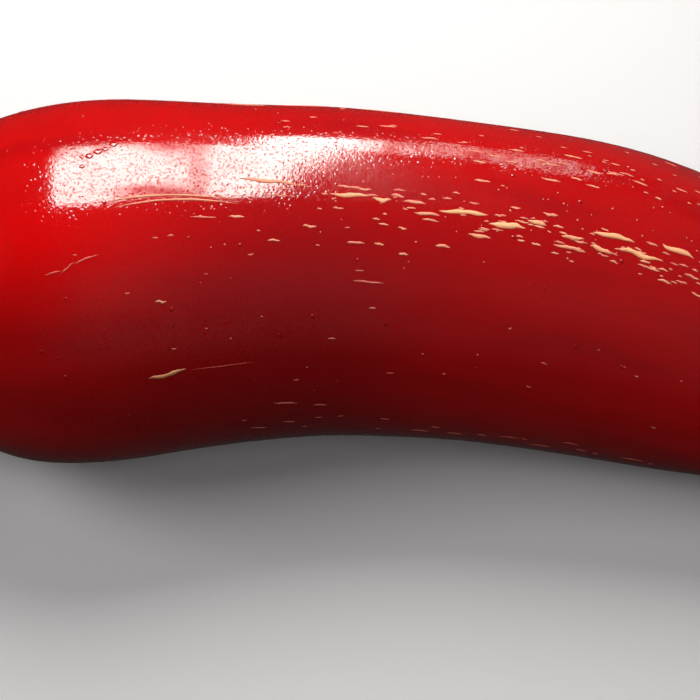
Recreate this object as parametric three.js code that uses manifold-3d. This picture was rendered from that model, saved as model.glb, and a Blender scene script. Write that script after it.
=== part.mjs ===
// A fresh, ripe, red chilli pepper of the blunt, thick-walled kind, as picked and lying on a flat surface.
// +X runs from the stalk to the tip, +Z is up, and the pod's inner bend faces -Y. All sizes are millimetres.
// Every piece follows from the pod's skin: round sections on a bent spine, swollen at the shoulder and closed
// in a blunt tip. The calyx is draped on that skin, and the corky scars are raised from it.
import * as THREE from 'three';
import { mergeVertices } from 'three/addons/utils/BufferGeometryUtils.js';
import Module from 'manifold-3d';

const wasm = await Module();
wasm.setup();

// The spine's route over the ground, from the stalk's end to the tip. A place along it is a share from 0 to 1.
const spine = new THREE.CubicBezierCurve(
  new THREE.Vector2(0, 0),
  new THREE.Vector2(16.2, 6.3),
  new THREE.Vector2(54.1, 17.4),
  new THREE.Vector2(79.6, 0),
);
const spineHeight = 13.69; // at the shoulder
const spineDrop = 4.5; // from there to the tip
const dropStart = 0.1;

// The pod's sections
const waistRadius = 12;
const shoulderSwell = 3.9; // what the shoulder adds to that radius
const swellCentre = -0.084;
const swellReach = 0.391;
const shoulderEnd = 0.29; // the stalk end rounds over up to here
const shoulderPower = 2; // 2 is an ellipse, more is squarer
const tipStart = 0.615; // the tip closes from here on
const tipPower = 2.3;
const tipBlunt = 0.52; // 0.5 is round, more is sharper
const dimpleDepth = 1.3; // the hollow that the calyx sits in
const dimpleRadius = 5;
const nubHeight = 0.5; // the dried point that the flower left at the tip
const nubRadius = 0.9;

// The skin's unevenness: shallow lobes, deepest at the ends, and slight dents
const lobes = 3;
const lobeTurn = THREE.MathUtils.degToRad(39);
const lobeDepth = { waist: 0.005, shoulder: 0.014, tip: 0.01 }; // as shares of the radius
const lobeReach = { shoulder: 0.15, tip: 0.17 };
const dents = [
  { height: 0.1, waves: 4.7, turns: 1, shift: 6.1 },
  { height: 0.08, waves: 5, turns: -2, shift: 0 },
  { height: 0.05, waves: 7.8, turns: 3, shift: 2.6 },
];

// The calyx and the stalk, one green body clear of the pod
const calyxGap = 0.3;
const calyxRadius = 8.2;
const calyxThickness = { middle: 1.7, rim: 0.75 };
const calyxTeeth = 5;
const toothReach = 0.16; // as a share of the radius
const toothWidth = 0.62; // as a share of the room between two teeth
const calyxRib = 0.14; // as a share of the thickness
const stalkLength = 26;
const stalkRadius = 2.15;
const stalkBend = { aside: -6, rise: 4.5 };
const stalkRib = 0.07; // as a share of the radius
const stalkTwist = 0.6; // radians from end to end
const rootFlare = { growth: 1.5, centre: 1.5, reach: 1.9 }; // where the stalk runs out into the calyx
const cutFlare = { growth: 0.75, reach: 4 }; // where the stalk was cut from the plant

// Corky scars. A place on the skin is a share along the spine and degrees round the pod: 0 is the +Y side,
// 90 the top and 180 the -Y side. The boldest scars are placed one by one.
const boldScars = [
  { along: 0.468, round: 99, length: 3, width: 0.5 },
  { along: 0.495, round: 100, length: 1.4, width: 0.5 },
  { along: 0.522, round: 100, length: 1.8, width: 0.36 },
  { along: 0.533, round: 104, length: 2, width: 0.38 },
  { along: 0.563, round: 102, length: 3.7, width: 0.55 },
  { along: 0.6, round: 105, length: 2.8, width: 0.66 },
  { along: 0.578, round: 110, length: 1.8, width: 0.42 },
  { along: 0.548, round: 115, length: 1.2, width: 0.36 },
  { along: 0.474, round: 116, length: 1.4, width: 0.32 },
  { along: 0.486, round: 129, length: 2.5, width: 0.32 },
  { along: 0.624, round: 102, length: 1.5, width: 0.5 },
  { along: 0.634, round: 98, length: 1.2, width: 0.36 },
  { along: 0.655, round: 104, length: 1.8, width: 0.42 },
  { along: 0.654, round: 109, length: 2.6, width: 0.42 },
  { along: 0.688, round: 101, length: 3.3, width: 0.55 },
  { along: 0.68, round: 107, length: 1.8, width: 0.5 },
  { along: 0.711, round: 105, length: 3.5, width: 0.58 },
  { along: 0.742, round: 99, length: 2.6, width: 0.62 },
  { along: 0.401, round: 95, length: 4.6, width: 0.42 },
  { along: 0.342, round: 108, length: 2, width: 0.36 },
  { along: 0.3, round: 158, length: 3.1, width: 0.5 },
  { along: 0.414, round: 175, length: 2.1, width: 0.36 },
];

// The others lie in drifts. A drift runs from one place to another and spreads by some degrees round the pod.
const scarDrifts = [
  { from: [0.42, 104], to: [0.76, 112], count: 18, spread: 10, length: [0.9, 1.8], width: [0.3, 0.4] },
  { from: [0.6, 92], to: [0.84, 84], count: 10, spread: 7, length: [1, 2.4], width: [0.32, 0.46] },
  { from: [0.62, 76], to: [0.86, 62], count: 10, spread: 12, length: [1, 2], width: [0.3, 0.42] },
  { from: [0.4, 187], to: [0.76, 197], count: 10, spread: 7, length: [1.2, 2.6], width: [0.3, 0.42] },
  { from: [0.36, 36], to: [0.8, 14], count: 16, spread: 16, length: [1.4, 3.4], width: [0.34, 0.56] },
];
const scarSeed = 7;
const scarLean = 0.22; // radians, from one side to the other
const scarOutline = [[-0.5, 0], [-0.2, 0.5], [0.22, 0.46], [0.5, 0], [0.18, -0.5], [-0.24, -0.44]];
const scarCrown = [[-0.2, 0], [0.2, 0]];
const scarHeight = { root: -0.4, brim: 0.04, crown: 0.2 }; // over the skin

// How finely the skins are divided
const podColumns = 48;
const shoulderRows = 15;
const waistRows = 15;
const tipRows = 22;
const greenColumns = 40;
const probe = 0.001; // share along the spine over which a direction is measured

const bell = (x) => Math.exp(-x * x);
const between = ([low, high], share) => low + (high - low) * share;
const turnOf = (column, columns) => (2 * Math.PI * column) / columns;

function randomSource(seed) {
  let state = seed;
  return () => {
    state = (state * 16807) % 2147483647;
    return state / 2147483647;
  };
}

// Height of the spine over the ground
function heightAt(along) {
  const dropped = Math.max(along - dropStart, 0) / (1 - dropStart);
  return spineHeight - spineDrop * dropped ** 2;
}

// Centre of a section, and the directions ahead, to the +Y side and up from it
function sectionAt(along) {
  const low = Math.max(along - probe, 0);
  const high = Math.min(along + probe, 1);
  const before = spine.getPoint(low);
  const after = spine.getPoint(high);
  const ahead = new THREE.Vector3(after.x - before.x, after.y - before.y, heightAt(high) - heightAt(low));
  const speed = ahead.length() / (high - low);
  ahead.normalize();
  const side = new THREE.Vector3(-ahead.y, ahead.x, 0).normalize();
  const up = new THREE.Vector3().crossVectors(ahead, side);
  const { x, y } = spine.getPoint(along);
  return { centre: new THREE.Vector3(x, y, heightAt(along)), ahead, side, up, speed };
}

// How much of the full radius the rounded ends leave
function endShare(along) {
  if (along < shoulderEnd) {
    const left = 1 - along / shoulderEnd;
    return (1 - left ** shoulderPower) ** (1 / shoulderPower);
  }
  if (along > tipStart) {
    const gone = (along - tipStart) / (1 - tipStart);
    return Math.max(1 - gone ** tipPower, 0) ** tipBlunt;
  }
  return 1;
}

const fullRadius = (along) => waistRadius + shoulderSwell * bell((along - swellCentre) / swellReach);

// How far the skin stands from the spine
function skinRadius(along, angle) {
  const shoulderLobes = lobeDepth.shoulder * bell(along / lobeReach.shoulder);
  const tipLobes = lobeDepth.tip * bell((1 - along) / lobeReach.tip);
  const lobing = (lobeDepth.waist + shoulderLobes + tipLobes) * Math.cos(lobes * (angle - lobeTurn));
  let dent = 0;
  for (const { height, waves, turns, shift } of dents) {
    dent += height * Math.sin(2 * Math.PI * waves * along + turns * angle + shift);
  }
  return endShare(along) * (fullRadius(along) * (1 + lobing) + dent);
}

function skinPoint(along, angle) {
  const radius = skinRadius(along, angle);
  const { centre, ahead, side, up } = sectionAt(along);
  const atStalk = along < 0.5;
  const pressedIn = atStalk ? dimpleDepth * bell(radius / dimpleRadius) : 0;
  const pointedOut = atStalk ? 0 : nubHeight * bell(radius / nubRadius);
  return centre
    .addScaledVector(side, radius * Math.cos(angle))
    .addScaledVector(up, radius * Math.sin(angle))
    .addScaledVector(ahead, pressedIn + pointedOut);
}

function skinNormal(along, angle) {
  const low = Math.max(along - probe, probe);
  const middle = low + probe;
  const ahead = skinPoint(low + 2 * probe, angle).sub(skinPoint(low, angle));
  const round = skinPoint(middle, angle + probe).sub(skinPoint(middle, angle - probe));
  return round.cross(ahead).normalize();
}

const overSkin = (along, angle, lift) =>
  skinPoint(along, angle).addScaledVector(skinNormal(along, angle), lift);

// Closed skin over rings of points, with a single point at each end
function closedSkin(firstPoint, rings, lastPoint) {
  const columns = rings[0].length;
  const points = [firstPoint, ...rings.flat(), lastPoint];
  const last = points.length - 1;
  const lastRing = last - columns;
  const faces = [];
  for (let c = 0; c < columns; c++) {
    const next = (c + 1) % columns;
    faces.push(0, 1 + next, 1 + c);
    for (let here = 1; here < lastRing; here += columns) {
      const there = here + columns;
      faces.push(here + c, here + next, there + next);
      faces.push(here + c, there + next, there + c);
    }
    faces.push(last, lastRing + c, lastRing + next);
  }
  const geometry = new THREE.BufferGeometry().setFromPoints(points);
  geometry.setIndex(faces);
  return geometry;
}

function solidFrom(geometry) {
  const { attributes, index } = mergeVertices(geometry);
  const vertProperties = attributes.position.array;
  const triVerts = new Uint32Array(index.array);
  return new wasm.Manifold(new wasm.Mesh({ numProp: 3, vertProperties, triVerts }));
}

function geometryFrom(solid) {
  const { vertProperties, triVerts } = solid.getMesh();
  const geometry = new THREE.BufferGeometry();
  geometry.setAttribute('position', new THREE.BufferAttribute(vertProperties, 3));
  geometry.setIndex(new THREE.BufferAttribute(triVerts, 1));
  return geometry;
}

// The pod's bare skin, flattened where it rests
function podSkin() {
  const stations = [];
  for (let i = 1; i <= shoulderRows; i++) {
    const turn = (i / shoulderRows) * (Math.PI / 2);
    stations.push(shoulderEnd * (1 - Math.cos(turn)));
  }
  for (let i = 1; i < waistRows; i++) {
    stations.push(between([shoulderEnd, tipStart], i / waistRows));
  }
  for (let i = 0; i < tipRows; i++) {
    const turn = (i / tipRows) * (Math.PI / 2);
    stations.push(between([tipStart, 1], Math.sin(turn)));
  }
  const rings = stations.map((along) =>
    Array.from({ length: podColumns }, (_, column) => {
      const point = skinPoint(along, turnOf(column, podColumns));
      return point.setZ(Math.max(point.z, 0));
    }),
  );
  return closedSkin(skinPoint(0, 0), rings, skinPoint(1, 0));
}

// Every scar, with those of the drifts drawn from a fixed seed
function allScars() {
  const random = randomSource(scarSeed);
  const lean = () => scarLean * (random() - 0.5);
  const scars = boldScars.map((scar) => ({ ...scar, lean: lean() }));
  for (const { from, to, count, spread, length, width } of scarDrifts) {
    for (let i = 0; i < count; i++) {
      const share = (i + random()) / count;
      const scatter = random() + random() - 1;
      const size = random() ** 1.5;
      scars.push({
        along: between([from[0], to[0]], share),
        round: between([from[1], to[1]], share) + spread * scatter,
        length: between(length, size),
        width: between(width, size),
        lean: lean(),
      });
    }
  }
  return scars;
}

// One scar: a low lens-shaped ridge that follows the skin, rooted in the flesh
function scarRidge({ along, round, length, width, lean }) {
  const middle = THREE.MathUtils.degToRad(round);
  const { speed } = sectionAt(along);
  const radius = skinRadius(along, middle);
  const raise = (outline, lift) =>
    outline.map(([lengthShare, widthShare]) => {
      const a = lengthShare * length;
      const b = widthShare * width;
      const onward = a * Math.cos(lean) - b * Math.sin(lean);
      const around = a * Math.sin(lean) + b * Math.cos(lean);
      return overSkin(along + onward / speed, middle - around / radius, lift);
    });
  const corners = scarOutline.length;
  const points = [
    ...raise(scarOutline, scarHeight.root),
    ...raise(scarOutline, scarHeight.brim),
    ...raise(scarCrown, scarHeight.crown),
  ];
  const faces = [];
  for (let i = 0; i < corners; i++) {
    const next = (i + 1) % corners;
    faces.push(i, corners + next, next);
    faces.push(i, corners + i, corners + next);
  }
  for (let i = 1; i + 1 < corners; i++) {
    faces.push(0, i, i + 1);
  }
  const [rear, fore] = [2 * corners, 2 * corners + 1];
  faces.push(6, 11, rear, 6, rear, 7);
  faces.push(7, rear, fore, 7, fore, 8);
  faces.push(8, fore, 9, 9, fore, 10);
  faces.push(10, fore, rear, 10, rear, 11);
  const geometry = new THREE.BufferGeometry().setFromPoints(points);
  geometry.setIndex(faces);
  return solidFrom(geometry);
}

function podSolid() {
  let solid = solidFrom(podSkin());
  for (const scar of allScars()) {
    solid = solid.add(scarRidge(scar));
  }
  return solid;
}

// How far the calyx reaches at an angle, with a short point at each tooth
function calyxReach(angle) {
  const turn = (calyxTeeth * angle) / (2 * Math.PI);
  const fromTooth = Math.abs(turn - Math.round(turn)) * 2;
  const tooth = Math.max(0, 1 - fromTooth / toothWidth);
  return calyxRadius * (1 + toothReach * (tooth - toothWidth / 2));
}

// The place along the spine at which the shoulder has a given radius
function shoulderPlace(radius) {
  const share = radius / fullRadius(0);
  return shoulderEnd * (1 - (1 - share ** shoulderPower) ** (1 / shoulderPower));
}

// A ring of the calyx over the shoulder: share 0 is its centre and 1 its rim
function calyxRing(share, thickness) {
  return Array.from({ length: greenColumns }, (_, column) => {
    const angle = turnOf(column, greenColumns);
    const along = shoulderPlace(share * calyxReach(angle));
    const ribbed = thickness * (1 + calyxRib * share * Math.cos(calyxTeeth * angle));
    return overSkin(along, angle, calyxGap + ribbed);
  });
}

// The stalk's own route, straight out of the pod and then curving as the pod does
function stalkRoute() {
  const { ahead, side, up } = sectionAt(0);
  const place = (back, bend) =>
    skinPoint(0, 0)
      .addScaledVector(ahead, -back * stalkLength)
      .addScaledVector(side, bend * stalkBend.aside)
      .addScaledVector(up, bend * stalkBend.rise);
  return new THREE.CubicBezierCurve3(place(0, 0), place(0.4, 0), place(0.72, 0.25), place(0.96, 1));
}

function stalkRadiusAt(distance) {
  const root = rootFlare.growth * bell((distance - rootFlare.centre) / rootFlare.reach);
  const cut = cutFlare.growth * bell((stalkLength - distance) / cutFlare.reach);
  return stalkRadius + root + cut;
}

// Rings of the stalk from the calyx to its cut end, closer together at both ends
function stalkRings() {
  const route = stalkRoute();
  const rows = 18;
  const start = 2.2;
  let { side } = sectionAt(0);
  return Array.from({ length: rows }, (_, row) => {
    const eased = (1 - Math.cos((Math.PI * (row + 1.5)) / (rows + 0.5))) / 2;
    const share = between([start / stalkLength, 1], eased);
    const centre = route.getPointAt(share);
    const ahead = route.getTangentAt(share).negate();
    side = side.clone().addScaledVector(ahead, -side.dot(ahead)).normalize();
    const up = new THREE.Vector3().crossVectors(ahead, side);
    return Array.from({ length: greenColumns }, (_, column) => {
      const angle = turnOf(column, greenColumns);
      const rib = 1 + stalkRib * Math.cos(calyxTeeth * (angle - stalkTwist * share));
      const radius = stalkRadiusAt(share * stalkLength) * rib;
      return centre
        .clone()
        .addScaledVector(side, radius * Math.cos(angle))
        .addScaledVector(up, radius * Math.sin(angle));
    });
  });
}

// The calyx's underside, rim and top, and then the stalk, as one skin
function greenSkin() {
  const { middle, rim } = calyxThickness;
  const rings = [
    ...[0.25, 0.5, 0.75, 0.93].map((share) => calyxRing(share, 0)),
    calyxRing(1, rim * 0.25),
    calyxRing(1, rim * 0.8),
    ...[0.95, 0.84, 0.72, 0.6, 0.5].map((share) => calyxRing(share, between([middle, rim], share))),
    ...stalkRings(),
  ].reverse();
  const cutCentre = new THREE.Vector3();
  rings[0].forEach((point) => cutCentre.addScaledVector(point, 1 / greenColumns));
  const underCentre = skinPoint(0, 0).addScaledVector(sectionAt(0).ahead, -calyxGap);
  return closedSkin(cutCentre, rings, underCentre);
}

function piece(name, geometry, look) {
  const faceted = geometry.toNonIndexed();
  faceted.computeVertexNormals();
  const mesh = new THREE.Mesh(faceted, new THREE.MeshStandardMaterial(look));
  mesh.name = name;
  return mesh;
}

const ripeRed = { color: 0xb80a10, roughness: 0.22, metalness: 0 };
const stalkGreen = { color: 0x5b7a2c, roughness: 0.5, metalness: 0 };

const chilli = new THREE.Group();
chilli.add(piece('pod', geometryFrom(podSolid()), ripeRed));
chilli.add(piece('calyx_and_stalk', greenSkin(), stalkGreen));

// The origin is the middle of the pepper's box on the surface that it lies on
const box = new THREE.Box3().setFromObject(chilli);
chilli.position.set(-(box.min.x + box.max.x) / 2, -(box.min.y + box.max.y) / 2, -box.min.z);

export default chilli;
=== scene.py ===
import math

import bpy
from mathutils import Matrix, Quaternion, Vector


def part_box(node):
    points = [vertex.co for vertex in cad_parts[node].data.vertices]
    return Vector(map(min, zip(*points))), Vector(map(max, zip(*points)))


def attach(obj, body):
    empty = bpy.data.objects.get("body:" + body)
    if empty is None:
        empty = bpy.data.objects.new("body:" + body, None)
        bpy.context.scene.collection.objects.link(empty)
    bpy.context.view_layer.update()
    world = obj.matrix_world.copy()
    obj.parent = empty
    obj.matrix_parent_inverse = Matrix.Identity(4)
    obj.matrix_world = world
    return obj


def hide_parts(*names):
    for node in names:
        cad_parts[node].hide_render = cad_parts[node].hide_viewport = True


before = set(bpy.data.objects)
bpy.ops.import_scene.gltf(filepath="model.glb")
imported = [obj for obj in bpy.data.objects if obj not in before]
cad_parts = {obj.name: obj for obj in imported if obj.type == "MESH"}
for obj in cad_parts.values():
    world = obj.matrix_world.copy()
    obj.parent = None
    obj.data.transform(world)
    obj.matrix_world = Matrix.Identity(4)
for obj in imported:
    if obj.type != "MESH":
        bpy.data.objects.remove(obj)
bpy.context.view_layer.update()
podLow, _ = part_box("pod")
mm = 0.001
print("the frame is loaded")


# Numbers and vectors worked out by nodes, so that the shapes below can be written as plain sums


class Field:
    def __init__(self, socket):
        self.socket = socket
        self.tree = socket.id_data


class Amount(Field):
    def sum(self, operation, *others):
        node = self.tree.nodes.new("ShaderNodeMath")
        node.operation = operation
        for place, value in enumerate((self, *others)):
            feed(node.inputs[place], value)
        return Amount(node.outputs[0])

    def __add__(self, other):
        return self.sum("ADD", other)

    def __sub__(self, other):
        return self.sum("SUBTRACT", other)

    def __mul__(self, other):
        return self.sum("MULTIPLY", other)

    def __truediv__(self, other):
        return self.sum("DIVIDE", other)

    def __pow__(self, other):
        return self.sum("POWER", other)

    def __neg__(self):
        return self * -1

    def __rsub__(self, other):
        return -self + other

    __radd__ = __add__
    __rmul__ = __mul__


class Arrow(Field):
    def node(self, operation, *others):
        node = self.tree.nodes.new("ShaderNodeVectorMath")
        node.operation = operation
        for place, value in enumerate((self, *others)):
            feed(node.inputs[place], value)
        return node

    def __add__(self, other):
        return Arrow(self.node("ADD", other).outputs[0])

    def __sub__(self, other):
        return Arrow(self.node("SUBTRACT", other).outputs[0])

    def __mul__(self, amount):
        node = self.node("SCALE")
        feed(node.inputs["Scale"], amount)
        return Arrow(node.outputs[0])

    def cross(self, other):
        return Arrow(self.node("CROSS_PRODUCT", other).outputs[0])

    def unit(self):
        return Arrow(self.node("NORMALIZE").outputs[0])

    def length(self):
        return Amount(self.node("LENGTH").outputs["Value"])

    def dot(self, other):
        return Amount(self.node("DOT_PRODUCT", other).outputs["Value"])

    def parts(self):
        node = self.tree.nodes.new("ShaderNodeSeparateXYZ")
        feed(node.inputs[0], self)
        return [Amount(socket) for socket in node.outputs]


def feed(socket, value):
    if isinstance(value, Field):
        value.tree.links.new(value.socket, socket)
    else:
        socket.default_value = value


def wrap(socket):
    return {"VECTOR": Arrow, "VALUE": Amount, "INT": Amount}.get(socket.type, Field)(socket)


def bell(amount):
    return (-(amount * amount)).sum("EXPONENT")


def step(amount, low, high):
    return ((amount - low) / (high - low)).sum("MAXIMUM", 0).sum("MINIMUM", 1)


def mixed(low, high, share):
    return low + (high - low) * share


def addNode(tree, kind, values, **settings):
    node = tree.nodes.new(kind)
    for name, setting in settings.items():
        setattr(node, name, setting)
    for name, value in values.items():
        feed(node.inputs[name], value)
    return node


def vector(tree, x, y, z):
    node = addNode(tree, "ShaderNodeCombineXYZ", {"X": x, "Y": y, "Z": z})
    return Arrow(node.outputs[0])


def noiseAlong(amount, detail):
    values = {"W": amount, "Scale": 1.0, "Detail": detail}
    node = addNode(amount.tree, "ShaderNodeTexNoise", values, noise_dimensions="1D")
    return Amount(node.outputs[0]) - 0.5


def noiseIn(place, scale, detail=1.0):
    values = {"Vector": place, "Scale": scale, "Detail": detail}
    node = addNode(place.tree, "ShaderNodeTexNoise", values, noise_dimensions="3D")
    return Amount(node.outputs[0]) - 0.5


# Node groups: a dictionary of named inputs gives their sockets and their values


def newGroup(name, inputs, outputs):
    tree = bpy.data.node_groups.new(name, "GeometryNodeTree")
    kinds = {float: "Float", int: "Int", Vector: "Vector", bpy.types.Material: "Material"}
    for label, default in inputs.items():
        kind = "NodeSocket" + ("Geometry" if default is None else kinds[type(default)])
        item = tree.interface.new_socket(label, in_out="INPUT", socket_type=kind)
        if default is not None:
            item.default_value = default
    for label, kind in outputs.items():
        tree.interface.new_socket(label, in_out="OUTPUT", socket_type="NodeSocket" + kind)
    given = tree.nodes.new("NodeGroupInput")
    return tree, {label: wrap(given.outputs[label]) for label in inputs}


def closeGroup(tree, results):
    node = tree.nodes.new("NodeGroupOutput")
    for label, value in results.items():
        feed(node.inputs[label], value)


def useGroup(tree, group, values):
    node = tree.nodes.new("GeometryNodeGroup")
    node.node_tree = group
    for label, value in values.items():
        feed(node.inputs[label], value)
    return {socket.name: wrap(socket) for socket in node.outputs}


def named(tree, label):
    node = addNode(tree, "GeometryNodeInputNamedAttribute", {"Name": label}, data_type="FLOAT")
    return Amount(node.outputs["Attribute"])


def store(geometry, label, value, kind="FLOAT"):
    values = {"Geometry": geometry, "Name": label, "Value": value}
    settings = {"data_type": kind, "domain": "POINT"}
    return Field(addNode(value.tree, "GeometryNodeStoreNamedAttribute", values, **settings).outputs[0])


def moveTo(geometry, position):
    values = {"Geometry": geometry, "Position": position}
    return Field(addNode(position.tree, "GeometryNodeSetPosition", values).outputs[0])


# A grid of unit size, and where each of its points lies on it, both from 0 to 1
def unitGrid(tree, rows, columns):
    values = {"Size X": 1.0, "Size Y": 1.0, "Vertices X": rows, "Vertices Y": columns}
    grid = Field(addNode(tree, "GeometryNodeMeshGrid", values).outputs["Mesh"])
    place = Arrow(tree.nodes.new("GeometryNodeInputPosition").outputs[0])
    x, y, _ = place.parts()
    return grid, x + 0.5, y + 0.5


# Smooth, closed and finished: seams and poles are merged
def finished(geometry, material, weld=0.0000005):
    tree = geometry.tree
    merged = addNode(tree, "GeometryNodeMergeByDistance", {"Geometry": geometry, "Distance": weld})
    smooth = addNode(tree, "GeometryNodeSetShadeSmooth", {"Geometry": Field(merged.outputs[0])})
    real = addNode(tree, "GeometryNodeRealizeInstances", {"Geometry": Field(smooth.outputs[0])})
    values = {"Geometry": Field(real.outputs[0]), "Material": material}
    return Field(addNode(tree, "GeometryNodeSetMaterial", values).outputs[0])


# An object with a plain mesh, made by a node group from its settings
def grown(name, group, settings, base=None):
    obj = bpy.data.objects.new(name, base or bpy.data.meshes.new(name))
    bpy.context.scene.collection.objects.link(obj)
    modifier = obj.modifiers.new(name, "NODES")
    modifier.node_group = group
    for item in group.interface.items_tree:
        if item.in_out == "INPUT" and item.name in settings:
            value = settings[item.name]
            modifier[item.identifier] = tuple(value) if isinstance(value, Vector) else value
    graph = bpy.context.evaluated_depsgraph_get()
    made = bpy.data.meshes.new_from_object(obj.evaluated_get(graph), depsgraph=graph)
    made.name = name
    obj.modifiers.clear()
    obj.data = made
    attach(obj, "root")
    print(name, "has", len(made.polygons), "faces")
    return obj


# The pod's skin: a place on it is a share along the spine and an angle round it, with 90 degrees on top.
# The handles and the end of the spine are measured from its start, which lies inside the pod's box.
spineInset = (0.000733, 0.009329)
podShape = {
    "Spine Start": Vector((podLow.x + spineInset[0], podLow.y + spineInset[1], 0.0)),
    "Spine Handle 1": Vector((0.0162, 0.0063, 0.0)),
    "Spine Handle 2": Vector((0.0541, 0.0174, 0.0)),
    "Spine End": Vector((0.0796, 0.0, 0.0)),
    "Spine Height": 0.01369,
    "Spine Drop": 0.0045,
    "Drop Start": 0.1,
    "Waist Radius": 0.012,
    "Shoulder Swell": 0.0039,
    "Swell Centre": -0.084,
    "Swell Reach": 0.391,
    "Shoulder End": 0.29,
    "Tip Start": 0.615,
    "Tip Power": 2.3,
    "Tip Blunt": 0.52,
    "Dimple Depth": 0.0013,
    "Dimple Radius": 0.005,
    "Nub Height": 0.0005,
    "Nub Radius": 0.0009,
    "Lobe Turn": math.radians(39),
}
lobeDepths = {"waist": 0.005, "shoulder": 0.014, "shoulderReach": 0.15, "tip": 0.01, "tipReach": 0.17}
dents = [
    {"height": 0.05 * mm, "waves": 4.7, "turns": 1, "shift": 6.1},
    {"height": 0.03 * mm, "waves": 5.0, "turns": -2, "shift": 0.0},
    {"height": 0.01 * mm, "waves": 7.8, "turns": 3, "shift": 2.6},
]


def skinRadius(given):
    along, angle = given["Along"], given["Angle"]
    swell = bell((along - given["Swell Centre"]) / given["Swell Reach"])
    body = given["Waist Radius"] + given["Shoulder Swell"] * swell
    lobes = lobeDepths["shoulder"] * bell(along / lobeDepths["shoulderReach"])
    lobes = lobes + lobeDepths["tip"] * bell((1 - along) / lobeDepths["tipReach"])
    lobes = (lobes + lobeDepths["waist"]) * ((angle - given["Lobe Turn"]) * 3).sum("COSINE")
    radius = body * (lobes + 1)
    for dent in dents:
        phase = along * (2 * math.pi * dent["waves"]) + angle * dent["turns"] + dent["shift"]
        radius = radius + phase.sum("SINE") * dent["height"]
    left = (1 - along / given["Shoulder End"]).sum("MAXIMUM", 0)
    shoulder = (1 - left * left).sum("MAXIMUM", 0).sum("SQRT")
    gone = step(along, given["Tip Start"], 1)
    tip = (1 - gone ** given["Tip Power"]).sum("MAXIMUM", 0) ** given["Tip Blunt"]
    return radius * shoulder * tip


# The frame that rides along the spine
def spineFrame(tree, given):
    along = given["Along"]
    left = 1 - along
    first, second, last = (given[f"Spine {end}"] for end in ("Handle 1", "Handle 2", "End"))
    ground = first * (left * left * along * 3) + second * (left * along * along * 3)
    ground = ground + last * (along * along * along)
    course = first * (left * left * 3) + (second - first) * (left * along * 6)
    course = course + (last - second) * (along * along * 3)
    run = 1 - given["Drop Start"]
    dropped = (along - given["Drop Start"]).sum("MAXIMUM", 0) / run
    height = given["Spine Height"] - given["Spine Drop"] * dropped * dropped
    slope = given["Spine Drop"] * dropped * -2 / run
    centre = given["Spine Start"] + ground + vector(tree, 0, 0, height)
    forward = course + vector(tree, 0, 0, slope)
    ahead = forward.unit()
    side = vector(tree, 0, 0, 1).cross(course).unit()
    return centre, ahead, side, ahead.cross(side), forward.length()


def skinPointGroup():
    inputs = {"Along": 0.0, "Angle": 0.0, **podShape}
    outputs = {"Position": "Vector", "Radius": "Float", "Speed": "Float"}
    tree, given = newGroup("Skin Point", inputs, outputs)
    radius = skinRadius(given)
    centre, ahead, side, up, speed = spineFrame(tree, given)
    atTip = given["Along"].sum("GREATER_THAN", 0.5)
    pressed = given["Dimple Depth"] * bell(radius / given["Dimple Radius"]) * (1 - atTip)
    pointed = given["Nub Height"] * bell(radius / given["Nub Radius"]) * atTip
    position = centre + side * (radius * given["Angle"].sum("COSINE"))
    position = position + up * (radius * given["Angle"].sum("SINE"))
    position = position + ahead * (pressed + pointed)
    closeGroup(tree, {"Position": position, "Radius": radius, "Speed": speed})
    return tree


# A point at a height over the skin, with the skin's direction worked out from its neighbours
def overSkinGroup(skinPoint):
    inputs = {"Along": 0.0, "Angle": 0.0, "Lift": 0.0, "Probe": 0.002, **podShape}
    outputs = {"Position": "Vector", "Normal": "Vector"}
    tree, given = newGroup("Over Skin", inputs, outputs)
    shape = {label: given[label] for label in podShape}
    probe = given["Probe"]
    along = given["Along"].sum("MAXIMUM", probe * 2)
    angle = given["Angle"]

    def at(share, turn):
        return useGroup(tree, skinPoint, {"Along": share, "Angle": turn, **shape})["Position"]

    forward = at(along + probe, angle) - at(along - probe, angle)
    around = at(along, angle + probe) - at(along, angle - probe)
    normal = around.cross(forward).unit()
    here = at(given["Along"], angle)
    closeGroup(tree, {"Position": here + normal * given["Lift"], "Normal": normal})
    return tree


skinPoint = skinPointGroup()
overSkin = overSkinGroup(skinPoint)


# Materials. Their patterns are laid out in Object coordinates or in attributes stored on the meshes.


def newMaterial(name):
    material = bpy.data.materials.new(name)
    material.use_nodes = True
    tree = material.node_tree
    return material, tree, tree.nodes["Principled BSDF"]


def objectPlace(tree):
    return Arrow(tree.nodes.new("ShaderNodeTexCoord").outputs["Object"])


def stored(tree, label):
    node = addNode(tree, "ShaderNodeAttribute", {}, attribute_name=label)
    return Amount(node.outputs["Fac"])


def storedVector(tree, label):
    node = addNode(tree, "ShaderNodeAttribute", {}, attribute_name=label)
    return Arrow(node.outputs["Vector"])


def blend(tree, share, low, high):
    node = addNode(tree, "ShaderNodeMix", {}, data_type="RGBA")
    feed(node.inputs["Factor"], share)
    for label, colour in (("A", low), ("B", high)):
        sockets = [s for s in node.inputs if s.name == label and s.type == "RGBA"]
        feed(sockets[0], colour)
    return Field([s for s in node.outputs if s.type == "RGBA"][0])


def bump(tree, height, distance, under=None):
    values = {"Height": height, "Distance": distance}
    if under:
        values["Normal"] = under
    return Field(addNode(tree, "ShaderNodeBump", values).outputs[0])


def paint(shader, **values):
    for label, value in values.items():
        feed(shader.inputs[label.replace("_", " ")], value)


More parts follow.
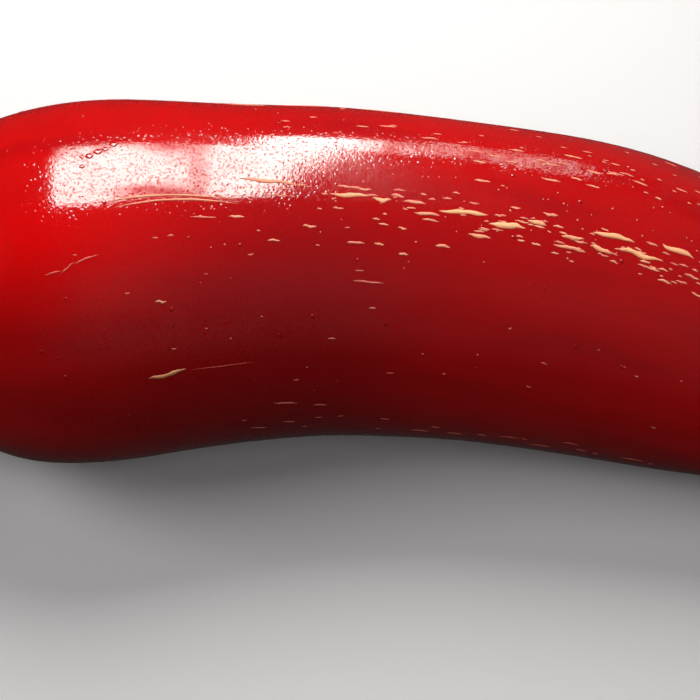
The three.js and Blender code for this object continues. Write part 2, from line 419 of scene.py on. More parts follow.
skinLook = {
    "ripe": (0.275, 0.0018, 0.0024, 1),
    # deep red is used both by the random streaks and by the shade painted on the middle of the pod
    "deep": (0.20, 0.0012, 0.0026, 1),
    "scarlet": (0.33, 0.0018, 0.0016, 1),
    "nub": (0.10, 0.045, 0.02, 1),
    # the brighter red of the light painted on the shoulder
    "paintedLight": (0.40, 0.0010, 0.0012, 1),
    "cloudScale": 70.0,
    "cloudRange": (0.35, 0.7),
    "streakScale": 3.0,
    "streakStretch": 1.5,
    "streakRange": (0.5, 0.8),
    "paintedShadeAt": 0.42,
    "paintedShadeReach": 0.13,
    "paintedShadeSide": (-0.1, 0.6),
    "paintedShadeDepth": 0.8,
    "paintedLightAt": (0.19, 0.36),
    "paintedLightReach": (0.13, 0.30),
    "nubRange": (0.9975, 0.9995),
}
skinRelief = {
    "grainScale": 4200.0,
    "grainHeight": 0.000007,
    "pitScale": 2600.0,
    "pitRange": (0.0, 0.3),
    "pitDepth": 0.000013,
    "waveScale": 1900.0,
    "waveHeight": 0.000034,
    "roughAlong": (0.50, 0.57),
    "roughAt": 0.24,
    "roughReach": 0.13,
    "quietAlong": (0.42, 0.47),
    "quietSide": (-0.2, -0.05),
    "quietDepth": 0.9,
}
skinShader = {
    "Roughness": 0.34,
    "Specular_IOR_Level": 0.0,
    "Coat_Roughness": 0.09,
    "Coat_IOR": 1.6,
    "Subsurface_Weight": 0.25,
    "Subsurface_Scale": 0.002,
    "Subsurface_Radius": (1.0, 0.12, 0.06),
}

# The wax that makes the skin glossy. It is thinner in specks and blotches, and in patches that give the
# mirrored light its gaps and its soft edges. A patch has a middle and a reach, along the pod and across it.
waxLook = {
    "bloomScale": 330.0,
    "bloomRange": (0.06, 0.2),
    "bloomDepth": 0.2,
    "speckScale": 4800.0,
    "speckRange": (0.04, 0.12),
    "speckDepth": 0.55,
    "blotchScale": 800.0,
    "blotchRange": (-0.06, 0.08),
    "blotchDepth": 0.6,
    "raggedScale": 900.0,
    "raggedAlong": 0.02,
    "raggedSide": 0.1,
}
dullPatches = [
    {"along": (0.341, 0.009), "sideways": (0.0, 0.30), "depth": 0.5},
    {"along": (0.318, 0.028), "sideways": (0.17, 0.07), "depth": 0.8},
    {"along": (0.318, 0.028), "sideways": (-0.17, 0.06), "depth": 0.8},
    {"along": (0.288, 0.024), "sideways": (-0.145, 0.03), "depth": 0.8},
    {"along": (0.503, 0.007), "sideways": (0.22, 0.12), "depth": 0.7},
    {"along": (0.576, 0.008), "sideways": (0.22, 0.12), "depth": 0.6},
    {"along": (0.206, 0.020), "sideways": (0.17, 0.07), "depth": 0.95},
    {"along": (0.262, 0.045), "sideways": (0.205, 0.045), "depth": 0.8},
    {"along": (0.259, 0.007), "sideways": (0.150, 0.022), "depth": 0.75},
]


def skinColour(tree, place, along, sideways):
    look = skinLook
    clouds = noiseIn(place, look["cloudScale"], detail=3.0) + 0.5
    streaks = noiseIn(storedVector(tree, "streak"), look["streakScale"], detail=4.0) + 0.5
    base = blend(tree, step(clouds, *look["cloudRange"]), look["ripe"], look["scarlet"])
    base = blend(tree, step(streaks, *look["streakRange"]), base, look["deep"])
    # A shade painted on the near side of the middle of the pod, which darkens the skin towards deep red
    paintedShade = bell((along - look["paintedShadeAt"]) / look["paintedShadeReach"]) * step(-sideways, *look["paintedShadeSide"])
    base = blend(tree, paintedShade * look["paintedShadeDepth"], base, look["deep"])
    # A pool of light painted on the front of the shoulder: the skin is brightened there towards a lighter
    # red
    paintedLight = bell((along - look["paintedLightAt"][0]) / look["paintedLightReach"][0])
    paintedLight = paintedLight * bell((-sideways - look["paintedLightAt"][1]) / look["paintedLightReach"][1])
    base = blend(tree, paintedLight, base, look["paintedLight"])
    return blend(tree, step(along, *look["nubRange"]), base, look["nub"])


# Pits and grain, apart from a quiet stretch on the right, and waves in the rough stretch on top
def skinNormal(tree, place, along, sideways, rough):
    look = skinRelief
    cells = addNode(tree, "ShaderNodeTexVoronoi", {"Vector": place, "Scale": look["pitScale"]})
    pits = step(Amount(cells.outputs["Distance"]), *look["pitRange"])
    grain = noiseIn(place, look["grainScale"], detail=1.0)
    waves = noiseIn(place, look["waveScale"], detail=2.0) * rough
    quiet = step(along, *look["quietAlong"]) * step(-sideways, *look["quietSide"])
    fine = 1 - quiet * look["quietDepth"]
    relief = bump(tree, pits * fine, look["pitDepth"])
    relief = bump(tree, grain * fine, look["grainHeight"], under=relief)
    return bump(tree, waves, look["waveHeight"], under=relief)


def skinWax(place, along, sideways, rough):
    look = waxLook
    ragged = noiseIn(place, look["raggedScale"], detail=3.0)
    bloom = step(noiseIn(place, look["bloomScale"], detail=3.0), *look["bloomRange"])
    specks = step(noiseIn(place, look["speckScale"], detail=1.0), *look["speckRange"])
    blotches = step(noiseIn(place, look["blotchScale"], detail=2.0), *look["blotchRange"]) * rough
    wax = (1 - bloom * look["bloomDepth"]) * (1 - specks * look["speckDepth"])
    wax = wax * (1 - blotches * look["blotchDepth"])
    for spot in dullPatches:
        dull = bell((along - spot["along"][0] + ragged * look["raggedAlong"]) / spot["along"][1])
        across = sideways - spot["sideways"][0] + ragged * look["raggedSide"]
        dull = dull * bell(across / spot["sideways"][1])
        wax = wax * (1 - dull * spot["depth"])
    return wax


def skinMaterial():
    material, tree, shader = newMaterial("redSkin")
    place = objectPlace(tree)
    along = stored(tree, "along")
    _, sideways, _ = storedVector(tree, "streak").parts()
    rough = step(along, *skinRelief["roughAlong"])
    rough = rough * bell((sideways - skinRelief["roughAt"]) / skinRelief["roughReach"])
    relief = skinNormal(tree, place, along, sideways, rough)
    wax = skinWax(place, along, sideways, rough)
    paint(shader, Base_Color=skinColour(tree, place, along, sideways))
    paint(shader, Normal=relief, Coat_Normal=relief, Coat_Weight=wax)
    paint(shader, **skinShader)
    return material


corkLook = {
    "cream": (0.70, 0.29, 0.145, 1),
    "pink": (0.57, 0.135, 0.105, 1),
    "faint": (0.46, 0.03, 0.025, 1),
    # the dark red of the shade painted round each scar's base
    "rim": (0.36, 0.06, 0.025, 1),
    "endRange": (0.55, 1.0),
    "endPinkness": 0.6,
    "faintRange": (1.0, 2.0),
    "shadedRimRange": (0.0, 0.3),
    "fibreScale": 3000.0,
    "fibreHeight": 0.00002,
}
corkShader = {
    "Roughness": 0.6,
    "Specular_IOR_Level": 0.15,
    "Subsurface_Weight": 0.2,
    "Subsurface_Scale": 0.0006,
}


def corkMaterial():
    material, tree, shader = newMaterial("dryCork")
    place = objectPlace(tree)
    tone, edge = stored(tree, "tone"), stored(tree, "edge")
    ends = step(stored(tree, "reach"), *corkLook["endRange"])
    pinkness = (tone + ends * corkLook["endPinkness"]).sum("MINIMUM", 1)
    base = blend(tree, pinkness, corkLook["cream"], corkLook["pink"])
    base = blend(tree, step(tone, *corkLook["faintRange"]), base, corkLook["faint"])
    # Shade is painted as a darker rim round the base of each scar, where its edge meets the skin
    base = blend(tree, 1 - step(edge, *corkLook["shadedRimRange"]), base, corkLook["rim"])
    fibres = noiseIn(place, corkLook["fibreScale"], detail=2.0)
    relief = bump(tree, fibres, corkLook["fibreHeight"])
    paint(shader, Base_Color=base, Normal=relief, **corkShader)
    return material


stalkLook = {
    "green": (0.075, 0.135, 0.022, 1),
    "pale": (0.20, 0.27, 0.06, 1),
    "shade": (0.045, 0.09, 0.018, 1),
    "brown": (0.15, 0.10, 0.04, 1),
    "cut": (0.42, 0.38, 0.19, 1),
    "pith": (0.30, 0.25, 0.12, 1),
    "ridgeRange": (0.25, 0.85),
    "patchScale": 260.0,
    "shadeRange": (0.45, 0.65),
    "shadeDepth": 0.6,
    "brownRange": (1.05, 1.3),
    "brownDepth": 0.7,
    "fleckScale": 1400.0,
    "fleckRange": (0.66, 0.74),
    "fleckDepth": 0.5,
    "pithRange": (0.1, 0.3),
    "rindRange": (0.86, 0.95),
    "grainScale": 2500.0,
    "grainHeight": 0.00003,
}
stalkShader = {"Roughness": 0.42, "Subsurface_Weight": 0.1, "Subsurface_Scale": 0.001}


def stalkMaterial():
    material, tree, shader = newMaterial("greenStalk")
    look = stalkLook
    place = objectPlace(tree)
    patches = noiseIn(place, look["patchScale"], detail=4.0) + 0.5
    flecks = noiseIn(place, look["fleckScale"], detail=2.0) + 0.5
    edge = stored(tree, "edge")
    base = blend(tree, step(stored(tree, "ridge"), *look["ridgeRange"]), look["green"], look["pale"])
    base = blend(tree, step(patches, *look["shadeRange"]) * look["shadeDepth"], base, look["shade"])
    worn = step(patches * 0.5 + edge, *look["brownRange"])
    base = blend(tree, worn * look["brownDepth"], base, look["brown"])
    base = blend(tree, step(flecks, *look["fleckRange"]) * look["fleckDepth"], base, look["pale"])
    cut = blend(tree, step(edge, *look["pithRange"]), look["pith"], look["cut"])
    cut = blend(tree, step(edge, *look["rindRange"]), cut, look["shade"])
    base = blend(tree, stored(tree, "cut"), base, cut)
    relief = bump(tree, noiseIn(place, look["grainScale"], detail=2.0), look["grainHeight"])
    paint(shader, Base_Color=base, Normal=relief, **stalkShader)
    return material


skin = skinMaterial()
cork = corkMaterial()
stalk = stalkMaterial()
print("the materials are made")

# The pod, as a grid wrapped round the spine
podSettings = {"Rows": 321, "Columns": 289}


def podGroup():
    inputs = {**podSettings, **podShape, "Material": skin}
    tree, given = newGroup("Pod", inputs, {"Geometry": "Geometry"})
    grid, share, turn = unitGrid(tree, given["Rows"], given["Columns"])
    along = (1 - (share * math.pi).sum("COSINE")) / 2
    angle = turn * (-2 * math.pi)
    shape = {label: given[label] for label in podShape}
    place = useGroup(tree, skinPoint, {"Along": along, "Angle": angle, **shape})["Position"]
    streak = vector(tree, along * skinLook["streakStretch"], angle.sum("COSINE"), angle.sum("SINE"))
    x, y, z = place.parts()
    position = vector(tree, x, y, z.sum("MAXIMUM", 0))
    geometry = store(store(grid, "along", along), "streak", streak, "FLOAT_VECTOR")
    geometry = moveTo(geometry, position)
    closeGroup(tree, {"Geometry": finished(geometry, given["Material"])})
    return tree


pod = grown("podSkin", podGroup(), {**podSettings, **podShape, "Material": skin})
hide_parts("pod")

# Corky scars: lens-shaped, raised a little, and drawn out along the pod. Each is a share along the spine,
# an angle in degrees, a length and, for the bold ones, a width in millimetres.
boldScars = [
    (0.468, 99, 3.0, 0.5),
    (0.495, 100, 1.4, 0.5),
    (0.508, 98, 1.0, 0.34),
    (0.522, 100, 1.8, 0.36),
    (0.533, 104, 2.0, 0.38),
    (0.563, 102, 3.7, 0.55),
    (0.600, 105, 2.8, 0.66),
    (0.578, 110, 1.8, 0.42),
    (0.548, 115, 1.2, 0.36),
    (0.474, 116, 1.4, 0.3),
    (0.486, 129, 2.5, 0.22),
    (0.624, 102, 1.5, 0.5),
    (0.634, 98, 1.2, 0.34),
    (0.655, 105, 1.8, 0.42),
    (0.654, 109, 2.6, 0.42),
    (0.688, 101, 3.3, 0.55),
    (0.680, 107, 1.8, 0.5),
    (0.711, 105, 3.5, 0.58),
    (0.742, 99, 2.6, 0.62),
    (0.401, 95, 4.6, 0.4),
    (0.342, 108, 2.0, 0.2),
    (0.758, 107, 1.1, 0.3),
]
smallScars = [
    (0.497, 109, 0.8),
    (0.513, 110, 0.7),
    (0.494, 116, 0.8),
    (0.515, 119, 0.8),
    (0.626, 110, 0.8),
    (0.630, 83, 1.5),
    (0.677, 73, 0.9),
    (0.718, 107, 0.9),
    (0.726, 109, 1.2),
    (0.734, 108, 0.9),
    (0.738, 112, 1.2),
    (0.768, 113, 1.1),
    (0.371, 108, 1.2),
    (0.434, 111, 1.1),
    (0.403, 116, 1.0),
    (0.298, 134, 0.9),
    (0.534, 106, 0.9),
]

# Curved scratches and creases, which also have a height, a tone, an arch and a lean
creases = [
    (0.300, 158.0, 3.1, 0.36, 0.035, 0.1, 0.0, -0.12),
    (0.414, 175.0, 2.1, 0.2, 0.03, 1.2, 0.0, 0.1),
    (0.447, 177.0, 1.2, 0.13, 0.03, 1.3, 0.0, 0.05),
    (0.310, 100.0, 10.6, 0.15, 0.03, 0.5, 0.55, 0.0),
    (0.318, 101.6, 9.4, 0.14, 0.03, 0.5, 0.5, 0.0),
    (0.197, 122.0, 1.3, 0.12, 0.02, 1.6, 0.0, -0.1),
    (0.212, 121.0, 1.3, 0.13, 0.02, 1.6, 0.0, -0.6),
    (0.231, 119.0, 2.0, 0.13, 0.02, 1.55, 0.0, -0.25),
    (0.353, 157.0, 5.2, 0.10, 0.015, 1.8, 0.0, -0.05),
]

# Drifts of small scars, from one place to another. The spread is in degrees, the lengths in millimetres.
scarDrifts = [
    {"from": (0.40, 99), "to": (0.80, 105), "count": 64, "spread": 9, "length": (0.35, 1.3), "tone": 0.5},
    {"from": (0.57, 106), "to": (0.84, 112), "count": 44, "spread": 8, "length": (0.3, 1.2), "tone": 0.4},
    {"from": (0.56, 78), "to": (0.87, 64), "count": 60, "spread": 14, "length": (0.3, 1.6), "tone": 0.4},
    {"from": (0.36, 186), "to": (0.78, 198), "count": 20, "spread": 7, "length": (0.5, 2.4), "tone": 1.0},
    {"from": (0.35, 36), "to": (0.82, 14), "count": 60, "spread": 18, "length": (0.5, 3.2), "tone": 0.5},
    {"from": (0.22, 118), "to": (0.50, 122), "count": 10, "spread": 16, "length": (0.3, 1.0), "tone": 0.9},
    {"from": (0.30, 150), "to": (0.80, 150), "count": 20, "spread": 26, "length": (0.2, 0.7), "tone": 0.9},
    {"from": (0.25, 270), "to": (0.80, 262), "count": 30, "spread": 40, "length": (0.4, 1.8), "tone": 0.5},
    {"from": (0.34, 96), "to": (0.88, 90), "count": 110, "spread": 34, "length": (0.08, 0.2), "tone": 0.4},
    {"from": (0.40, 66), "to": (0.80, 54), "count": 24, "spread": 12, "length": (0.4, 1.3), "tone": 0.7},
]
scarSettings = {"Rings": 12, "Segments": 6, "Wobble": 0.6, "Wander": 1.0}
scarLook = {
    "boldWidth": 0.7,
    "boldHeight": 0.035,
    "creamFrom": 0.55,
    "pinkRate": 3.5,
    "smallWidth": 0.14,
    "smallWidthSpread": 0.06,
    "smallHeight": 0.03,
    "smallTone": 0.45,
    "driftWidth": 0.07,
    "driftWidthSpread": 0.05,
    "driftWidthGrowth": 0.06,
    "driftHeight": 0.02,
    "driftHeightSpread": 0.01,
    "driftToneSpread": 0.6,
    "lean": 0.16,
    "leanMiddle": 0.3,
    "phases": 100,
}


def randomSource(seed):
    state = seed

    def draw():
        nonlocal state
        state = (state * 16807) % 2147483647
        return state / 2147483647

    return draw


def between(ends, share):
    return ends[0] + (ends[1] - ends[0]) * share


def allScars():
    look = scarLook
    draw = randomSource(11)
    scars = []

    def add(along, turn, length, width, height, tone, arch=0.0, lean=None):
        scars.append(
            {
                "place": along,
                "turn": math.radians(turn),
                "length": length * mm,
                "width": width * mm,
                "height": height * mm,
                "tone": tone,
                "arch": arch * mm,
                "lean": look["lean"] * (draw() - look["leanMiddle"]) if lean is None else lean,
                "phase": draw() * look["phases"],
            }
        )

    for along, turn, length, width in boldScars:
        tone = max(0, look["creamFrom"] - width) * look["pinkRate"]
        add(along, turn, length, width * look["boldWidth"], look["boldHeight"], tone)
    for crease in creases:
        add(*crease)
    for along, turn, length in smallScars:
        width = look["smallWidth"] + look["smallWidthSpread"] * draw()
        add(along, turn, length, width, look["smallHeight"], look["smallTone"])
    for drift in scarDrifts:
        for i in range(drift["count"]):
            share = (i + draw()) / drift["count"]
            scatter = draw() + draw() - 1
            length = between(drift["length"], draw() ** 2)
            width = look["driftWidth"] + look["driftWidthSpread"] * draw()
            width += look["driftWidthGrowth"] * length
            along = between((drift["from"][0], drift["to"][0]), share)
            turn = between((drift["from"][1], drift["to"][1]), share) + drift["spread"] * scatter
            height = look["driftHeight"] + look["driftHeightSpread"] * draw()
            tone = drift["tone"] + look["driftToneSpread"] * draw()
            add(along, turn, length, width, height, tone)
    return scars


# Glossy pimples all over, and a few larger drops that stand close together near the stalk
drops = [(0.238, 84), (0.245, 84), (0.253, 82.5), (0.260, 81.5), (0.268, 79.5), (0.237, 88)]
pimpleSettings = {"Rings": 8, "Segments": 8, "Wobble": 0.2, "Wander": 0.0}
pimpleLook = {
    "count": 190,
    "along": 0.12,
    "alongSpread": 0.8,
    "size": 0.14,
    "sizeSpread": 0.2,
    "dropSize": 0.34,
    "dropSizeSpread": 0.28,
    "stretch": 1.2,
    "height": 0.1,
}


def allPimples():
    look = pimpleLook
    draw = randomSource(5)
    places = [(*drop, look["dropSize"] + look["dropSizeSpread"] * draw()) for drop in drops]
    for _ in range(look["count"]):
        along = look["along"] + look["alongSpread"] * draw()
        turn = 360 * draw()
        places.append((along, turn, look["size"] + look["sizeSpread"] * draw()))
    pimples = []
    for along, turn, size in places:
        size = size * mm
        pimple = {"place": along, "turn": math.radians(turn), "length": size * look["stretch"]}
        pimple.update({"width": size, "height": size * look["height"], "tone": 0})
        pimple.update({"arch": 0, "lean": 0, "phase": draw()})
        pimples.append(pimple)
    return pimples


def scarSeeds(scars):
    mesh = bpy.data.meshes.new("scarSeeds")
    mesh.from_pydata([(0, 0, 0)] * len(scars), [], [])
    for label in scars[0]:
        attribute = mesh.attributes.new(label, "FLOAT", "POINT")
        attribute.data.foreach_set("value", [scar[label] for scar in scars])
    return mesh


# How blunt a scar's ends are, and the scale of its uneven outline
scarForm = {
    "blunt": 0.35,
    "wobbleScale": 1.7,
    "wanderScale": 1.1,
    "wanderFrom": 500,
    "widen": 1.1,
    "edge": 2,
}


def scarGroup():
    form = scarForm
    inputs = {"Seeds": None, **scarSettings, **podShape, "Material": cork}
    tree, given = newGroup("Corky Scars", inputs, {"Geometry": "Geometry"})
    values = {"Rings": given["Rings"], "Segments": given["Segments"], "Radius": 1.0}
    ball = Field(addNode(tree, "GeometryNodeMeshUVSphere", values).outputs["Mesh"])
    values = {"Points": given["Seeds"], "Instance": ball}
    spread = Field(addNode(tree, "GeometryNodeInstanceOnPoints", values).outputs[0])
    scars = Field(addNode(tree, "GeometryNodeRealizeInstances", {"Geometry": spread}).outputs[0])

    # On the unit ball, z runs along the scar, y across it and x out of the skin
    ball = Arrow(tree.nodes.new("GeometryNodeInputPosition").outputs[0])
    out, across, onward = ball.parts()
    girth = (1 - onward * onward).sum("MAXIMUM", 0) ** form["blunt"]
    phase = named(tree, "phase")
    wobble = noiseAlong(onward * form["wobbleScale"] + phase, detail=2.0) * given["Wobble"] * 2 + 1
    wandering = onward * form["wanderScale"] + phase + form["wanderFrom"]
    wander = noiseAlong(wandering, detail=1.0) * given["Wander"]
    halfWidth = named(tree, "width") / 2
    forward = onward * named(tree, "length") / 2
    sideways = across * halfWidth * girth * wobble * form["widen"] + wander * halfWidth * 2
    sideways = sideways + named(tree, "arch") * onward * onward
    lean = named(tree, "lean")
    cosine, sine = lean.sum("COSINE"), lean.sum("SINE")
    shape = {label: given[label] for label in podShape}
    start = {"Along": named(tree, "place"), "Angle": named(tree, "turn")}
    middle = useGroup(tree, skinPoint, {**start, **shape})
    along = start["Along"] + (forward * cosine - sideways * sine) / middle["Speed"]
    angle = start["Angle"] + (forward * sine + sideways * cosine) / middle["Radius"]
    lift = (out * form["edge"]).sum("MAXIMUM", -1).sum("MINIMUM", 1) * named(tree, "height") * girth
    values = {"Along": along, "Angle": angle, "Lift": lift, **shape}
    reach, edge = onward.sum("ABSOLUTE"), out
    geometry = store(store(scars, "reach", reach), "edge", edge)
    x, y, z = useGroup(tree, overSkin, values)["Position"].parts()
    geometry = moveTo(geometry, vector(tree, x, y, z.sum("MAXIMUM", 0)))
    closeGroup(tree, {"Geometry": finished(geometry, given["Material"], 0.0)})
    return tree


# The scars and the pimples are grown by the same nodes
scarValues = {**scarSettings, **podShape, "Material": cork}
scars = grown("corkyScars", scarGroup(), scarValues, scarSeeds(allScars()))

pimpleValues = {**pimpleSettings, **podShape, "Material": skin}
pimples = grown("skinPimples", scarGroup(), pimpleValues, scarSeeds(allPimples()))

# The calyx is a thin lens draped on the shoulder, and the stalk is a tube with a cut end
calyxSettings = {
    "Calyx Rows": 97,
    "Calyx Columns": 241,
    "Calyx Radius": 0.0082,
    "Middle Thickness": 0.0019,
    "Rim Thickness": 0.0010,
    "Sink": 0.00015,
    "Tooth Reach": 0.16,
    "Tooth Width": 0.62,
    "Calyx Rib": 0.14,
    "Wrinkle Scale": 3.4,
    "Wrinkles": 0.9,
    "Unevenness": 0.45,
    "Ragged Rim": 0.07,
    "Knobs": 0.0003,
}
stalkSettings = {
    "Stalk Rows": 161,
    "Stalk Columns": 121,
    "Stalk Length": 0.026,
    "Stalk Radius": 0.00215,
    "Stalk Aside": -0.006,
    "Stalk Rise": 0.0045,
    "Stalk Rib": 0.07,
    "Stalk Twist": 0.6,
    "Fibre Scale": 3.0,
    "Fibre Height": 0.22,
    "Fibre Drift": 1.6,
    "Root Flare": 0.0015,
    "Cut Flare": 0.00075,
    "Roughness": 0.00016,
}
calyxTeeth = 5
calyxForm = {
    "toothNoise": 1.2,
    "rimNoise": 4.0,
    "wrinkleDrift": 0.3,
    "knobNoise": 700.0,
    "roundness": 8,
    "ridgeWrinkles": 1.5,
    "ridgeFrom": 0.45,
}


def calyxPart(tree, given, shape):
    form = calyxForm
    grid, row, turn = unitGrid(tree, given["Calyx Rows"], given["Calyx Columns"])
    angle = turn * (-2 * math.pi)
    circle = vector(tree, angle.sum("COSINE"), angle.sum("SINE"), 0)
    share = (row * math.pi).sum("SINE")
    onTop = row.sum("GREATER_THAN", 0.5)
    uneven = noiseIn(circle, form["toothNoise"], detail=1.0) * given["Unevenness"]
    tooth = (angle + uneven) * (calyxTeeth / (2 * math.pi))
    fromTooth = (tooth - tooth.sum("ROUND")).sum("ABSOLUTE") * 2
    point = (1 - fromTooth / given["Tooth Width"]).sum("MAXIMUM", 0)
    point = point * point * (3 - point * 2)
    ragged = noiseIn(circle, form["rimNoise"], detail=3.0) * given["Ragged Rim"]
    reach = (point - given["Tooth Width"] / 2) * given["Tooth Reach"] + ragged + 1
    reach = given["Calyx Radius"] * reach
    swell = given["Shoulder Swell"] * bell(given["Swell Centre"] / given["Swell Reach"])
    ratio = share * reach / (given["Waist Radius"] + swell)
    along = given["Shoulder End"] * (1 - (1 - ratio * ratio).sum("SQRT"))
    drifted = circle + vector(tree, 0, 0, share * form["wrinkleDrift"])
    wrinkles = noiseIn(drifted, given["Wrinkle Scale"], detail=2.0)
    vein = (tooth * (2 * math.pi)).sum("COSINE") * given["Calyx Rib"]
    ribs = share * (vein + wrinkles * given["Wrinkles"]) + 1
    thickness = mixed(given["Middle Thickness"], given["Rim Thickness"], share) * ribs
    rounding = (1 - share ** form["roundness"]).sum("MAXIMUM", 0).sum("SQRT")
    lift = (thickness + given["Sink"]) * rounding * onTop - given["Sink"]
    values = {"Along": along, "Angle": angle, "Lift": lift, **shape}
    place = useGroup(tree, overSkin, values)
    knobs = noiseIn(place["Position"], form["knobNoise"], detail=2.0) * given["Knobs"] * onTop * rounding
    position = place["Position"] + place["Normal"] * knobs
    ridge = (wrinkles * form["ridgeWrinkles"] + vein) * share + form["ridgeFrom"]
    geometry = store(store(store(grid, "ridge", ridge), "cut", share * 0), "edge", share)
    return moveTo(geometry, position)


# The rows of the stalk's grid go up its body, round its rim and over its cut face. Its course has four
# handles, each a share of its length and of its bend.
stalkForm = {
    "rootRows": (0.0, 0.04),
    "bodyRows": (0.04, 0.86),
    "rimRows": (0.86, 0.88),
    "capRows": (0.88, 1.0),
    "cutRows": (0.87, 0.89),
    "handles": ((0, 0), (0.4, 0), (0.72, 0.25), (0.96, 1)),
    "rootFlareAt": 0.0015,
    "rootFlareReach": 0.0019,
    "cutFlareReach": 0.004,
    "rimDraw": 0.06,
    "rimBulge": 0.0002,
    "capHollow": 0.0006,
    "roughNoise": 900.0,
    "ridgeRibs": 0.15,
    "ridgeFibres": 1.4,
    "ridgeFrom": 0.5,
    "sideEdge": 0.3,
}


def stalkPart(tree, given, shape):
    form = stalkForm
    grid, row, turn = unitGrid(tree, given["Stalk Rows"], given["Stalk Columns"])
    angle = turn * (-2 * math.pi)
    root = {"Along": 0.0, "Angle": 0.0, "Lift": 0.0, **shape}
    start = useGroup(tree, overSkin, root)["Position"]
    _, ahead, side, up, _ = spineFrame(tree, {**given, "Along": row * 0})
    length = given["Stalk Length"]

    def handle(back, bend):
        aside = side * (given["Stalk Aside"] * bend)
        return start + ahead * (length * -back) + aside + up * (given["Stalk Rise"] * bend)

    first, second, third, last = (handle(*place) for place in form["handles"])
    share = step(row, *form["bodyRows"])
    left = 1 - share
    centre = first * (left * left * left) + second * (share * left * left * 3)
    centre = centre + third * (share * share * left * 3) + last * (share * share * share)
    course = (second - first) * (left * left) + (third - second) * (share * left * 2)
    back = (course + (last - third) * (share * share)).unit()
    level = (side - back * side.dot(back)).unit()
    upright = level.cross(back)
    distance = share * length
    flare = given["Root Flare"] * bell((distance - form["rootFlareAt"]) / form["rootFlareReach"])
    flare = flare + given["Cut Flare"] * bell((length - distance) / form["cutFlareReach"])
    wound = angle - given["Stalk Twist"] * share
    ribbing = (wound * calyxTeeth).sum("COSINE")
    circle = vector(tree, wound.sum("COSINE"), wound.sum("SINE"), share * given["Fibre Drift"])
    fibres = noiseIn(circle, given["Fibre Scale"], detail=3.0)
    ribs = ribbing * given["Stalk Rib"] + fibres * given["Fibre Height"]
    radius = (given["Stalk Radius"] + flare) * (ribs + 1)
    rim, cap = step(row, *form["rimRows"]), step(row, *form["capRows"])
    closing = step(row, *form["rootRows"]) * (1 - cap)
    rounded = (1 - rim * form["rimDraw"]) * closing
    position = centre + level * (radius * rounded * angle.sum("COSINE"))
    position = position + upright * (radius * rounded * angle.sum("SINE"))
    position = position + back * (rim * form["rimBulge"] - cap * cap * form["capHollow"])
    rough = noiseIn(position, form["roughNoise"], detail=3.0) * given["Roughness"]
    outward = level * angle.sum("COSINE") + upright * angle.sum("SINE")
    position = position + outward * (rough * closing)
    ridge = ribbing * form["ridgeRibs"] + fibres * form["ridgeFibres"] + form["ridgeFrom"]
    geometry = store(store(grid, "ridge", ridge), "cut", step(row, *form["cutRows"]))
    edge = mixed(form["sideEdge"], rounded / (1 - form["rimDraw"]), cap.sum("GREATER_THAN", 0))
    geometry = store(geometry, "edge", edge)
    return moveTo(geometry, position)


def greenGroup():
    inputs = {**calyxSettings, **stalkSettings, **podShape, "Material": stalk}
    tree, given = newGroup("Calyx And Stalk", inputs, {"Geometry": "Geometry"})
    shape = {label: given[label] for label in podShape}
    join = tree.nodes.new("GeometryNodeJoinGeometry")
    for part in (calyxPart, stalkPart):
        tree.links.new(part(tree, given, shape).socket, join.inputs[0])
    closeGroup(tree, {"Geometry": finished(Field(join.outputs[0]), given["Material"])})
    return tree


greenValues = {**calyxSettings, **stalkSettings, **podShape, "Material": stalk}
green = grown("calyxAndStalk", greenGroup(), greenValues)
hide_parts("calyx_and_stalk")

# The pale floor
floorLook = {"size": 3.0, "colour": (0.455, 0.435, 0.445, 1), "roughness": 0.9}


def makeFloor():
    half = floorLook["size"] / 2
    mesh = bpy.data.meshes.new("floor")
    corners = [(-half, -half, 0), (half, -half, 0), (half, half, 0), (-half, half, 0)]
    mesh.from_pydata(corners, [], [(0, 1, 2, 3)])
    floor = bpy.data.objects.new("floor", mesh)
    bpy.context.scene.collection.objects.link(floor)
    material, _, shader = newMaterial("floor")
    paint(shader, Base_Color=floorLook["colour"], Roughness=floorLook["roughness"])
    mesh.materials.append(material)
    floor.visible_glossy = False
    floor.visible_diffuse = False


makeFloor()

# The lights: panels facing the pod from behind and above, which its skin mirrors as long bright patches
spineStart = podShape["Spine Start"]
lightLook = {
    "centre": (0.030, 0.00231, 0.025),
    "tilt": math.radians(51),
    "distance": 0.150,
    "panelTint": (0.97, 1.0, 0.94),
}
panels = {
    "broadPanel": {"across": -0.203, "up": 0.04, "size": (0.0565, 0.123), "turn": 6, "power": 0.365},
    "sidePanel": {"across": 0.022, "up": -0.13, "size": (0.0150, 0.147), "turn": 6, "power": 0.128},
    "cornerPanel": {"across": 0.050, "up": -0.50, "size": (0.0090, 0.042), "turn": 6, "power": 0.011},
    "faintPanel": {"across": 0.19, "up": -0.60, "size": (0.030, 0.052), "turn": 0, "power": 0.015},
}


def makePanel(name, panel):
    light = bpy.data.lights.new(name, "AREA")
    light.shape = "RECTANGLE"
    light.size, light.size_y = panel["size"]
    light.energy = panel["power"]
    light.color = lightLook["panelTint"]
    lamp = bpy.data.objects.new(name, light)
    bpy.context.scene.collection.objects.link(lamp)
    tilt, distance = lightLook["tilt"], lightLook["distance"]
    outward = Vector((0, math.cos(tilt), math.sin(tilt)))
    across = Vector((1, 0, 0))
    upward = Vector((0, -math.sin(tilt), math.cos(tilt)))
    offset = outward + across * panel["across"] + upward * panel["up"]
    lamp.location = spineStart + Vector(lightLook["centre"]) + offset * distance
    lamp.rotation_mode = "QUATERNION"
    facing = Matrix((-across, upward, outward)).transposed().to_quaternion()
    spin = Quaternion((0, 0, 1), math.radians(panel["turn"]))
    lamp.rotation_quaternion = facing @ spin
    lamp.visible_camera = False


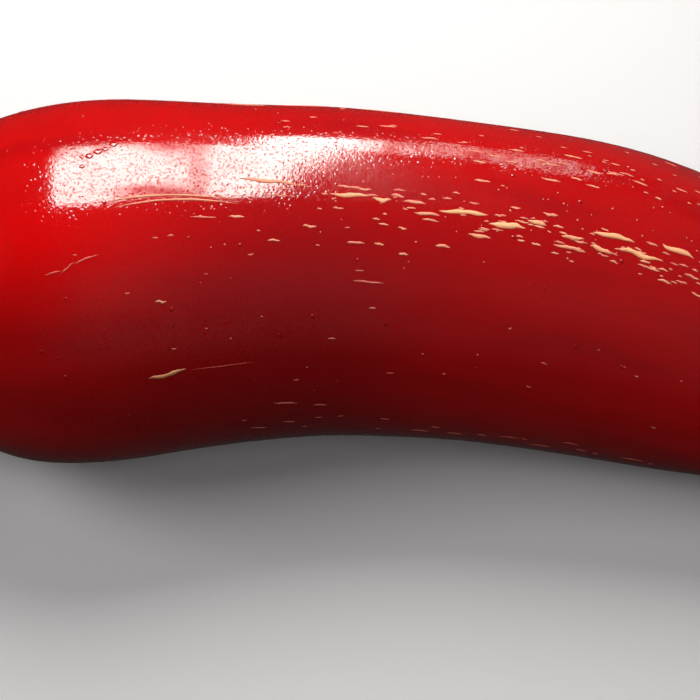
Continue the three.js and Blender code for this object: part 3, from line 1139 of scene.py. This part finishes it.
for name, panel in panels.items():
    makePanel(name, panel)

# Soft fill, which lights the pod's near side and isn't mirrored in it
fills = {
    "leftFill": {"azimuth": -75, "elevation": 45, "distance": 0.5, "size": 0.25, "power": 1.8},
    "rightFill": {"azimuth": 30, "elevation": 48, "distance": 0.5, "size": 0.25, "power": 0.7},
}


# The direction that lies at an azimuth and an elevation, seen from the pod
def towards(azimuth, elevation):
    flat = Vector((math.sin(azimuth), -math.cos(azimuth), 0))
    return flat * math.cos(elevation) + Vector((0, 0, math.sin(elevation)))


def makeFill(name, fill):
    light = bpy.data.lights.new(name, "AREA")
    light.size = fill["size"]
    light.energy = fill["power"]
    lamp = bpy.data.objects.new(name, light)
    bpy.context.scene.collection.objects.link(lamp)
    back = towards(math.radians(fill["azimuth"]), math.radians(fill["elevation"]))
    lamp.location = spineStart + Vector(lightLook["centre"]) + back * fill["distance"]
    lamp.rotation_mode = "QUATERNION"
    lamp.rotation_quaternion = (-back).to_track_quat("-Z", "Y")
    lamp.visible_camera = False
    lamp.visible_glossy = False


for name, fill in fills.items():
    makeFill(name, fill)

# The room is dark on the left and below, and a little brighter behind the pod on the right
roomLook = {
    "above": (0.12, 0.12, 0.125, 1),
    "aboveLeft": (0.02, 0.02, 0.02, 1),
    "aboveRange": (-0.3, 0.4),
    "below": (0.03, 0.03, 0.03, 1),
    "behind": (0.13, 0.12, 0.115, 1),
    "behindAway": (0.6, 0.8),
    "behindAcross": (-0.15, 0.3),
    "horizon": (-0.1, 0.3),
}


def makeWorld():
    world = bpy.data.worlds.new("room")
    bpy.context.scene.world = world
    world.use_nodes = True
    tree = world.node_tree
    across, away, rise = Arrow(tree.nodes.new("ShaderNodeTexCoord").outputs["Generated"]).parts()
    above = blend(tree, step(across, *roomLook["aboveRange"]), roomLook["aboveLeft"], roomLook["above"])
    behind = step(away, *roomLook["behindAway"]) * step(across, *roomLook["behindAcross"])
    below = blend(tree, behind, roomLook["below"], roomLook["behind"])
    colour = blend(tree, step(rise, *roomLook["horizon"]), below, above)
    feed(tree.nodes["Background"].inputs["Color"], colour)


makeWorld()

# The camera stands where the photo was taken from
cameraLook = {
    "aim": (0.03488, 0.00224, 0.0120),
    "azimuth": math.radians(6.94),
    "elevation": math.radians(55),
    "distance": 0.230,
    "drop": 0.00005,
    "lens": 156.1,
    "sensor": 36,
    "clip": (0.01, 10),
}


def makeCamera():
    camera = bpy.data.objects.new("camera", bpy.data.cameras.new("camera"))
    bpy.context.scene.collection.objects.link(camera)
    azimuth, elevation = cameraLook["azimuth"], cameraLook["elevation"]
    back = towards(azimuth, elevation)
    up = towards(azimuth, elevation + math.pi / 2)
    aim = spineStart + Vector(cameraLook["aim"]) - up * cameraLook["drop"]
    camera.location = aim + back * cameraLook["distance"]
    camera.rotation_mode = "QUATERNION"
    camera.rotation_quaternion = (-back).to_track_quat("-Z", "Y")
    camera.data.sensor_width = cameraLook["sensor"]
    camera.data.lens = cameraLook["lens"]
    camera.data.clip_start, camera.data.clip_end = cameraLook["clip"]
    bpy.context.scene.camera = camera


makeCamera()
bpy.context.scene.view_settings.view_transform = "Standard"
print("the floor, the lights and the camera are set")
